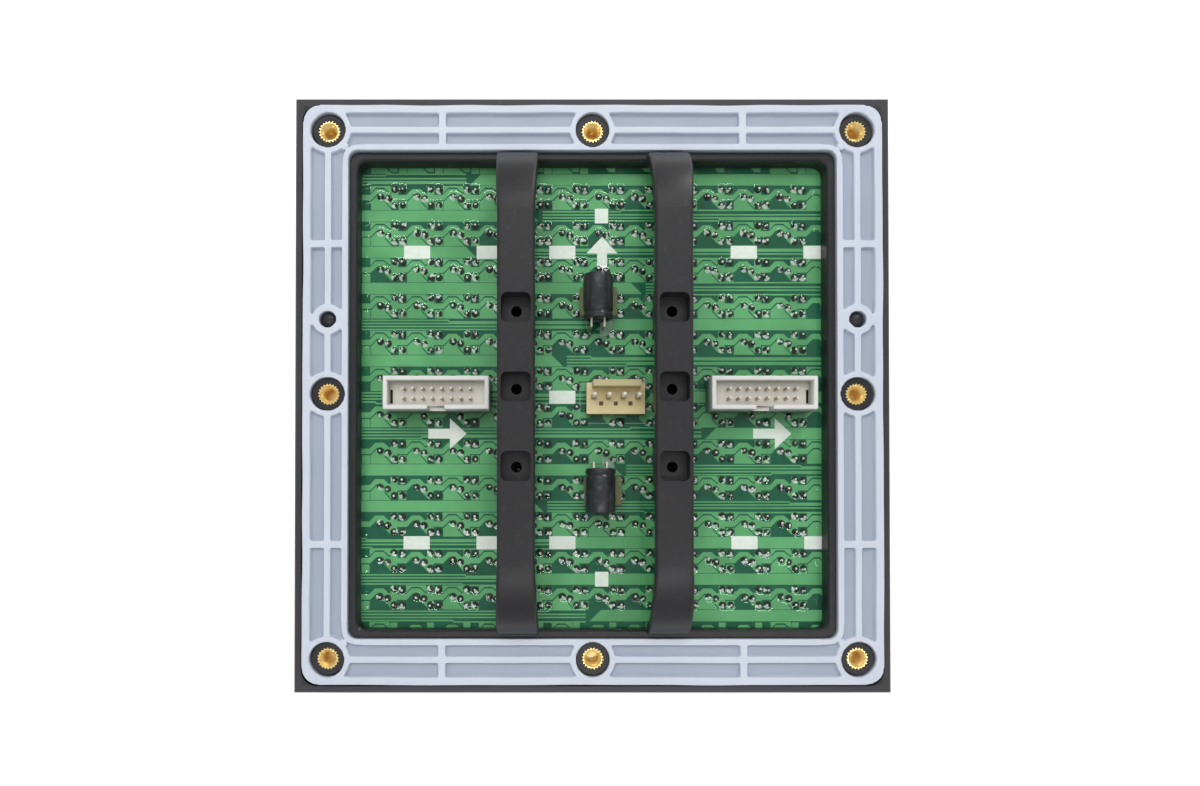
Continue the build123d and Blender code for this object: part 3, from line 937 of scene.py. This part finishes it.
class DressCopper(bpy.types.Operator):
    """Lays the copper areas, the tracks and the white print on the board"""
    bl_idname = "module.dress_copper"
    bl_label = "Copper and print"

    def execute(self, context):
        draw = random.Random(4)
        high = board_back + sizes().copper_height
        columns = cell_lines(opening_half + 2 * mm)
        copper = FlatWork(board_back, high)
        lines = bmesh.new()
        for row in columns:
            upper, lower = row_curves(row, columns)
            copper.area(upper[::-1] + lower)
            for column in columns:
                self.fill_cell(copper, column, row, draw)
            self.fill_strip(copper, lines, row + pixel_pitch / 2, columns, draw)
        areas = mesh_object("copper_areas", copper.shape)
        bounds = opening_half + 1.0 * mm
        trim(areas.data, bounds)
        place(areas, "copper_green", "board_green", smooth=20.0)
        strips = grown("copper_tracks", lines, "track", width=0.42 * mm, height=high - board_back,
                       finish=finishes["copper_green"])
        trim(strips.data, bounds)
        place(strips, None, "board_green", smooth=20.0)
        place(printed_marks(high), "print_white", "board_green", smooth=20.0)
        place(printed_outlines(high), "print_faint", "board_green", smooth=20.0)
        return {"FINISHED"}

    def fill_cell(self, copper, column, row, draw):
        """Fills some cells with copper under and over the supply track, more often at the upper left."""
        gap = sizes().copper_gap
        slope_gap = gap * 1.3
        often = column < -crossbar_x and row > -3 * pixel_pitch
        if draw.random() < (0.85 if often else 0.45):
            hill = at_cell(lower_hill, column, row, -slope_gap)
            foot = at_cell(((-0.1, -strip_edge), (-5.74, -strip_edge)), column, row)
            copper.area(hill + foot)
            left, right = column + 1.6 * mm + gap, column + 4.1 * mm
            over, under = row + track_under * mm - gap, row - strip_edge * mm
            copper.area(((left, over), (right, over), (right, under), (left, under)))
        if draw.random() < (0.7 if often else 0.3):
            cap = at_cell(((cell_left, track_over), *upper_cap[:-1]), column, row, slope_gap)
            top = row + strip_edge * mm
            copper.area([(column - 0.1 * mm - gap, top)] + cap[::-1] + [(column + cell_left * mm, top)])

    def fill_strip(self, copper, lines, middle, columns, draw):
        """Fills the strip between two rows of lamps: wide copper at one end, fine tracks at the other."""
        half = 1.55 * mm
        tracks = 4
        first_track = 0.22 * mm
        track_step = 0.84 * mm
        end_gap = sizes().copper_gap * 3
        left, right = columns[0] + cell_left * mm, columns[-1] + cell_right * mm
        turn = left + draw.uniform(0.25, 0.75) * (right - left)
        fine_first = draw.random() < 0.5
        wide, fine = ((turn, right), (left, turn)) if fine_first else ((left, turn), (turn, right))
        foot, head = middle - half, middle + half
        left_head = wide[0] + (2 * half if fine_first else 0)
        right_head = wide[1] - (0 if fine_first else 2 * half)
        copper.area(((wide[0], foot), (wide[1], foot), (right_head, head), (left_head, head)))
        start, stop = (fine[0], fine[1] - end_gap) if fine_first else (fine[0] + end_gap, fine[1])
        for index in range(tracks):
            level = foot + first_track + index * track_step
            bend = draw.uniform(fine[0] + 6 * mm, fine[1] - 8 * mm)
            shift = draw.choice((-0.4, 0.4)) * mm if index in (0, tracks - 1) else 0
            route = [(start, level), (stop, level + shift)]
            if shift:
                route[1:1] = [(bend, level), (bend + abs(shift), level + shift)]
            made = [lines.verts.new((x, y, (copper.low + copper.high) / 2)) for x, y in route]
            for before, after in zip(made, made[1:]):
                lines.edges.new((before, after))


def trim(mesh, half):
    """Cuts a mesh off at a square's edge and closes nothing, since the case hides the edge."""
    shape = bmesh.new()
    shape.from_mesh(mesh)
    for normal in ((1, 0, 0), (-1, 0, 0), (0, 1, 0), (0, -1, 0)):
        bmesh.ops.bisect_plane(
            shape, geom=shape.verts[:] + shape.edges[:] + shape.faces[:],
            plane_co=Vector(normal) * half, plane_no=normal, clear_outer=True)
    shape.to_mesh(mesh)
    shape.free()


def printed_marks(foot):
    """The white print: label blocks and arrows."""
    marks = FlatWork(foot - 0.03 * mm, foot + 0.03 * mm)
    label_x = (-48, -28, -8, 42, 62)
    for y, xs in ((40, label_x), (0, (-8,)), (-40, label_x)):
        for x in xs:
            marks.bar(x * mm, y * mm, 7.2 * mm, 3.6 * mm)
    for y in (50, -50):
        marks.bar(2.8 * mm, y * mm, 3.65 * mm, 4.05 * mm)
    for x, y, turn in ((-39.6, -10.05, 0), (49.7, -10.05, 0), (2.95, 39.0, 90)):
        marks.arrow(x * mm, y * mm, turn)
    return marks.finished("white_print")


def printed_outlines(foot):
    """The thin, fainter print: outlines round the headers, and the capacitors' polarity circles."""
    marks = FlatWork(foot - 0.03 * mm, foot + 0.02 * mm)
    line = 0.2 * mm
    circle = 3.8 * mm
    marks.border(-3.16 * mm, 16.35 * mm, -7.2 * mm, 3.6 * mm, line)
    for name in ("input", "output"):
        low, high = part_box(name + "_header_shell")
        marks.border(low.x - 2.0 * mm, high.x + 2.0 * mm, -2.0 * mm, 2.0 * mm, line)
    for x, y in ((2.34 * mm, 20.0 * mm), (2.9 * mm, -20.0 * mm)):
        marks.ring(x, y, circle, line)
        marks.area(arc(x, y, circle, -90, 90))
    return marks.finished("faint_print")


class DressBoard(bpy.types.Operator):
    """Gives the board and the chips on its front their finishes"""
    bl_idname = "module.dress_board"
    bl_label = "Board and chips"

    def execute(self, context):
        for name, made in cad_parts.items():
            if name == "circuit_board":
                repaint(made, "board_green")
            elif name.split("_")[1] in ("chip", "switch"):
                repaint(made, "chip_black")
        return {"FINISHED"}


def repaint(made, finish_name):
    """Gives a CAD node its finish through its material slots."""
    for slot in made.material_slots:
        slot.material = finishes[finish_name]


class DressPotting(bpy.types.Operator):
    """Pours the clear layer, with its surface drawn up a little round the joints"""
    bl_idname = "module.dress_potting"
    bl_label = "Clear potting"

    def execute(self, context):
        step = 0.46 * mm
        half = opening_half + 0.4 * mm
        count = int(2 * half / step)
        shape = bmesh.new()
        bmesh.ops.create_grid(shape, x_segments=count, y_segments=count, size=half)
        level = board_back + 0.5 * mm
        for vertex in shape.verts:
            vertex.co.z = level + potting_rise(vertex.co.x, vertex.co.y)
        made = mesh_object("potting_surface", shape)
        place(made, "clear_silicone", "clear_silicone", "clear_potting", smooth=180.0)
        return {"FINISHED"}


def potting_rise(x, y):
    """How far the cured surface stands over its level: drawn up at joints, and gently uneven."""
    joint_rise = 0.27 * mm
    joint_reach = 0.95 * mm
    most = 0.34 * mm
    ripple = 0.03 * mm
    column = (x / pixel_pitch) % 1.0 * pixel_pitch - pixel_pitch / 2
    row = (y / pixel_pitch) % 1.0 * pixel_pitch - pixel_pitch / 2
    distances = [math.hypot(column - dx, row - dy) for dx, dy in joint_spots]
    rise = sum(joint_rise * math.exp(-(distance / joint_reach) ** 2) for distance in distances)
    uneven = math.sin(x * 210 + 1.3) * math.sin(y * 170 + 0.4) + 0.5 * math.sin(x * 95 - y * 130)
    return min(rise, most) + ripple * uneven


# Headers and the power header

class DressHeaders(bpy.types.Operator):
    """Rounds the ribbon-cable headers, fills them with compound and finishes their pins"""
    bl_idname = "module.dress_headers"
    bl_label = "Ribbon-cable headers"

    def execute(self, context):
        for side, name in ((-1, "input"), (1, "output")):
            shell = bevelled(mesh_object(name + "_shell", cad_copy(name + "_header_shell")), 0.16 * mm)
            place(shell, "shell_grey", "shell_grey", name + "_header_shell")
            pins = mesh_object(name + "_pins", cad_copy(name + "_header_pins"))
            place(pins, "pin_metal", "pin_metal", name + "_header_pins")
            self.pour(side, name)
        return {"FINISHED"}

    def pour(self, side, name):
        """Fills a shell and its key notch, with a slit near the shell's outer end."""
        wall = 1.0 * mm
        notch_half = 2.25 * mm
        notch_foot = 2.5 * mm
        slit_inset = 1.5 * mm
        slit_half = 0.35 * mm
        low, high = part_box(name + "_header_shell")
        middle = (low + high) / 2
        level = low.z + 4.9 * mm
        inside = block((low.x + wall, low.y + wall, low.z), (high.x - wall, high.y - wall, level))
        end = (low.x if side < 0 else high.x) - side * slit_inset
        slit = block((end - slit_half, middle.y - 2.4 * mm, level - 2 * mm),
                     (end + slit_half, middle.y + 1.3 * mm, level + 1 * mm))
        place(cut(mesh_object(name + "_fill", inside), slit), "header_fill", "clear_silicone")
        notch = block((middle.x - notch_half, low.y, low.z + notch_foot),
                      (middle.x + notch_half, low.y + wall, level))
        place(mesh_object(name + "_notch_fill", notch), "header_fill", "clear_silicone")


class DressPower(bpy.types.Operator):
    """Rounds the tan power header and finishes its four pins"""
    bl_idname = "module.dress_power"
    bl_label = "Power header"

    def execute(self, context):
        housing = bevelled(mesh_object("power_housing", cad_copy("power_socket_housing", 0.0)), 0.1 * mm)
        place(housing, "housing_tan", "housing_tan", "power_socket_housing")
        pins = bevelled(mesh_object("power_pins", cad_copy("power_socket_pins")), 0.1 * mm)
        place(pins, "pin_metal", "pin_metal", "power_socket_pins")
        return {"FINISHED"}


# Capacitors

can_radius = 4 * mm
can_half = 6 * mm


class DressCapacitors(bpy.types.Operator):
    """Makes each capacitor's sleeve, vented end, bent leads and pad"""
    bl_idname = "module.dress_capacitors"
    bl_label = "Capacitors and pads"

    def execute(self, context):
        for name, lead_side in (("upper", -1), ("lower", 1)):
            low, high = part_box(name + "_capacitor")
            middle = Vector(((low.x + high.x) / 2, 0, high.z - can_radius))
            middle.y = high.y - can_half if lead_side < 0 else low.y + can_half
            turn = Matrix.Translation(middle) @ Matrix.Rotation(math.radians(-90 * lead_side), 4, "X")
            sleeve = lathe(sleeve_profile(), 48)
            sleeve.transform(turn)
            can = mesh_object(name + "_can", sleeve)
            place(can, "can_sleeve", "can_black", name + "_capacitor", smooth=30.0)
            end = vented_end()
            end.transform(turn)
            place(mesh_object(name + "_can_end", end), "can_end", "can_black", smooth=30.0)
            leads = bent_leads("can_leads_" + name, middle, lead_side)
            place(leads, "pin_metal", "pin_metal", smooth=60.0)
            pad = bevelled(mesh_object(name + "_pad", cad_copy(name + "_capacitor_pad")), 0.5 * mm, 3)
            place(pad, "pad_olive", "pad_olive", name + "_capacitor_pad")
        return {"FINISHED"}


def sleeve_profile():
    """Radius and height along a can's axis, from its vented end to its crimped lead end."""
    groove = can_half - 1.8 * mm
    groove_depth = 0.35 * mm
    groove_half = 0.7 * mm
    profile = [
        (0, 0.25 * mm - can_half), (can_radius - 1.1 * mm, 0.25 * mm - can_half),
        (can_radius - 0.95 * mm, -can_half), (can_radius - 0.5 * mm, -can_half),
        (can_radius - 0.15 * mm, 0.15 * mm - can_half), (can_radius, 0.5 * mm - can_half)]
    for share in (-1.0, -0.5, 0.0, 0.5, 1.0):
        waist = groove_depth * math.cos(share * math.pi / 2) ** 2
        profile.append((can_radius - waist, groove + share * groove_half))
    return profile + [
        (can_radius, can_half - 0.5 * mm), (can_radius - 0.2 * mm, can_half - 0.12 * mm),
        (can_radius - 0.7 * mm, can_half), (can_radius - 1.1 * mm, can_half),
        (can_radius - 1.2 * mm, can_half - 0.5 * mm), (0, can_half - 0.5 * mm)]


def vented_end():
    """The bare metal end of a can inside its sleeve's lip."""
    reach = 2.85 * mm
    face = 0.12 * mm - can_half
    rim = 0.2 * mm - can_half
    back = 0.5 * mm - can_half
    return lathe([(0, face), (reach * 0.9, face), (reach, rim), (reach, back), (0, back)], 32)


def bent_leads(name, middle, lead_side):
    """Two round leads that leave a can's end and turn down to the board."""
    curve = bpy.data.curves.new("leads", "CURVE")
    curve.dimensions = "3D"
    curve.bevel_depth = 0.3 * mm
    curve.bevel_resolution = 3
    curve.use_fill_caps = True
    start = can_half - 0.6 * mm
    straight = can_half + 0.9 * mm
    end = can_half + 1.6 * mm
    drop = middle.z - board_back
    for side in (-1, 1):
        steps = ((start, 0), (straight, 0), (end, 0.3 * mm), (end, 1.4 * mm), (end, drop))
        line = curve.splines.new("NURBS")
        line.points.add(len(steps) - 1)
        for point, (out, down) in zip(line.points, steps):
            point.co = (middle.x + side * 1.75 * mm, middle.y + lead_side * out, middle.z - down, 1)
        line.order_u = 3
        line.use_endpoint_u = True
    drawn = bpy.data.objects.new("leads", curve)
    bpy.context.scene.collection.objects.link(drawn)
    made = bpy.data.objects.new(name, plain_mesh(drawn))
    bpy.data.objects.remove(drawn)
    bpy.context.scene.collection.objects.link(made)
    return made


# The front

class DressFront(bpy.types.Operator):
    """Makes the front: louvred mask, domed lamps in three colours and cross-head screws"""
    bl_idname = "module.dress_front"
    bl_label = "Front mask, lamps and screws"

    def execute(self, context):
        shape = cad_copy("front_mask", 0.2)
        tip = mask_face - lamp_reach
        ends = [vertex for vertex in shape.verts if abs(vertex.co.z - tip) < 0.01 * mm]
        bmesh.ops.delete(shape, geom=ends, context="VERTS")
        bmesh.ops.holes_fill(shape, edges=shape.edges, sides=4)
        mask = mesh_object("louvred_mask", shape)
        place(mask, "mask_black", "mask_black", "front_mask")
        lines = cell_lines(module_half)
        profile = (
            (1.0, 0), (1.0, 0.5), (0.86, 0.6), (0.86, 2.6), (0.8, 3.6), (0.6, 4.5), (0.3, 4.9), (0, 5.0))
        for colour, (dx, dy) in zip(("red", "green", "blue"), lamp_offsets):
            lamp = lathe([(radius, -reach * mm) for radius, reach in profile], 10)
            bmesh.ops.scale(lamp, vec=(1.9 * mm, 1.5 * mm, 1), verts=lamp.verts)
            spots = [(x + dx, y + dy, mask_face) for x in lines for y in lines]
            made = repeated(colour + "_lamps", lamp, spots, "lens_" + colour)
            place(made, None, "mask_black", smooth=60.0)
        screws = repeated("cross_head_screws", self.screw(), [(x, y, 0) for x, y in screw_spots()],
                          "screw_steel", turn=math.pi, seed=3)
        place(screws, None, "screw_steel", "mask_screws", smooth=35.0)
        return {"FINISHED"}

    def screw(self):
        """One screw, head down, with a cross recess in its head."""
        head = mask_face
        seat = head + 1.1 * mm
        head_radius = 1.6 * mm
        shank = 1.0 * mm
        made = mesh_object("screw", lathe([
            (0, head), (1.35 * mm, head), (head_radius, head + 0.3 * mm), (head_radius, seat), (shank, seat),
            (shank, screw_top - 0.6 * mm), (0.3 * mm, screw_top), (0, screw_top)], 20))
        for long, short in ((0.95 * mm, 0.2 * mm), (0.2 * mm, 0.95 * mm)):
            cut(made, block((-long, -short, head - 0.3 * mm), (long, short, head + 0.6 * mm)))
        shape = bmesh.new()
        shape.from_mesh(made.data)
        bpy.data.objects.remove(made)
        return shape


def screw_spots():
    """Centres of the screws: one under each well and two along each side."""
    spots = list(wells)
    for sx in (-1, 1):
        for sy in (-1, 1):
            spots.append((sx * rim_screw_at, sy * rim_screw_along))
            spots.append((sx * rim_screw_along, sy * rim_screw_at))
    return spots


# The stage

class SetStage(bpy.types.Operator):
    """Sets the white floor, the soft light and the camera above the module"""
    bl_idname = "module.set_stage"
    bl_label = "Stage"

    def execute(self, context):
        scene = context.scene
        light = scene.module_light
        scene.view_settings.view_transform = "Standard"
        self.floor()
        self.world(scene, light.world_strength)
        for name, spot, size, share, hidden in (
                ("key_light", (-0.08, 0.42, 1.0), (1.1, 0.8), 9.5, "visible_glossy"),
                ("strip_light", (0.05, -0.3, 0.8), (0.8, 0.03), 2, "visible_diffuse"),
                ("high_strip", (-0.02, 0.5, 0.8), (0.6, 0.03), 1.5, "visible_diffuse"),
                ("spark_light", (0.5, 0.9, 0.6), (0.16, 0.16), 5, "visible_diffuse")):
            lamp = self.lamp(name, spot, size, light.key_power * share)
            setattr(lamp, hidden, False)
        self.camera(scene, Vector((-11.4 * mm, -31.1 * mm, board_back + light.camera_height)))
        return {"FINISHED"}

    def camera(self, scene, eye):
        """A camera over a point beside the module's middle, shifted so that the module fills the picture."""
        camera = bpy.data.objects.new("camera", bpy.data.cameras.new("camera"))
        camera.data.sensor_width = 36
        camera.data.lens = 22.92
        camera.data.shift_x = 0.0417
        camera.data.shift_y = 0.0914
        camera.data.clip_start = 0.01
        camera.location = eye
        camera.rotation_euler = (math.radians(0.57), 0, 0)
        scene.collection.objects.link(camera)
        scene.camera = camera

    def floor(self):
        """A white floor under the module that keeps its shadow."""
        shape = bmesh.new()
        bmesh.ops.create_grid(shape, x_segments=1, y_segments=1, size=1.5)
        floor = mesh_object("floor", shape)
        paint = bpy.data.materials.new("floor_white")
        paint.use_nodes = True
        tree = paint.node_tree
        surface = tree.nodes["Principled BSDF"].inputs
        surface["Base Color"].default_value = (0.86, 0.86, 0.86, 1)
        surface["Roughness"].default_value = 0.8
        surface["Emission Color"].default_value = (1, 1, 1, 1)
        rays = add(tree, "ShaderNodeLightPath").outputs
        seen = combined(tree, "MAXIMUM", rays["Is Camera Ray"], rays["Is Glossy Ray"])
        through = combined(tree, "MAXIMUM", seen, rays["Is Transmission Ray"])
        fill(tree, surface["Emission Strength"], combined(tree, "MULTIPLY", through, 0.65))
        floor.data.materials.append(paint)

    def world(self, scene, strength):
        """Even white surroundings, full white only where the camera sees them."""
        world = bpy.data.worlds.new("studio")
        world.use_nodes = True
        tree = world.node_tree
        sky = tree.nodes["Background"].inputs
        sky["Color"].default_value = (1, 1, 1, 1)
        seen = add(tree, "ShaderNodeLightPath").outputs["Is Camera Ray"]
        fill(tree, sky["Strength"], stretched(tree, seen, 0.0, 1.0, strength, 1.0))
        scene.world = world

    def lamp(self, name, spot, size, power):
        """A soft rectangular light that looks at the module."""
        data = bpy.data.lights.new(name, "AREA")
        data.shape = "RECTANGLE"
        data.size, data.size_y = size
        data.energy = power
        lamp = bpy.data.objects.new(name, data)
        lamp.location = spot
        lamp.rotation_euler = (-Vector(spot)).to_track_quat("-Z", "Y").to_euler()
        bpy.context.scene.collection.objects.link(lamp)
        return lamp


class ModulePanel(bpy.types.Panel):
    """Lists the pieces of the module and the sizes that change them"""
    bl_idname = "VIEW3D_PT_led_module"
    bl_label = "LED Module"
    bl_space_type = "VIEW_3D"
    bl_region_type = "UI"
    bl_category = "LED Module"

    def draw(self, context):
        for name in settings:
            group = getattr(context.scene, name)
            box = self.layout.box()
            for key in group.bl_rna.properties.keys():
                if key not in ("name", "rna_type"):
                    box.prop(group, key)
        for operator in operators:
            self.layout.operator(operator.bl_idname)


settings = {"module_sizes": ModuleSizes, "module_colours": ModuleColours, "module_light": ModuleLight}
operators = (
    MixFinishes, SetStage, DressCase, DressSeal, DressInserts, DressBoard, DressCopper, DressJoints,
    DressPotting, DressHeaders, DressPower, DressCapacitors, DressFront,
)
classes = (*settings.values(), *operators, ModulePanel)


def register():
    """Registers the classes and their settings."""
    for item in classes:
        bpy.utils.register_class(item)
    for name, group in settings.items():
        setattr(bpy.types.Scene, name, bpy.props.PointerProperty(type=group))


def unregister():
    """Takes the classes and their settings away again."""
    for name in settings:
        delattr(bpy.types.Scene, name)
    for item in reversed(classes):
        bpy.utils.unregister_class(item)


def main():
    """Makes every piece in order."""
    register()
    for operator in operators:
        group, name = operator.bl_idname.split(".")
        getattr(getattr(bpy.ops, group), name)()
    bpy.context.view_layer.update()


if __name__ == "__main__":
    main()
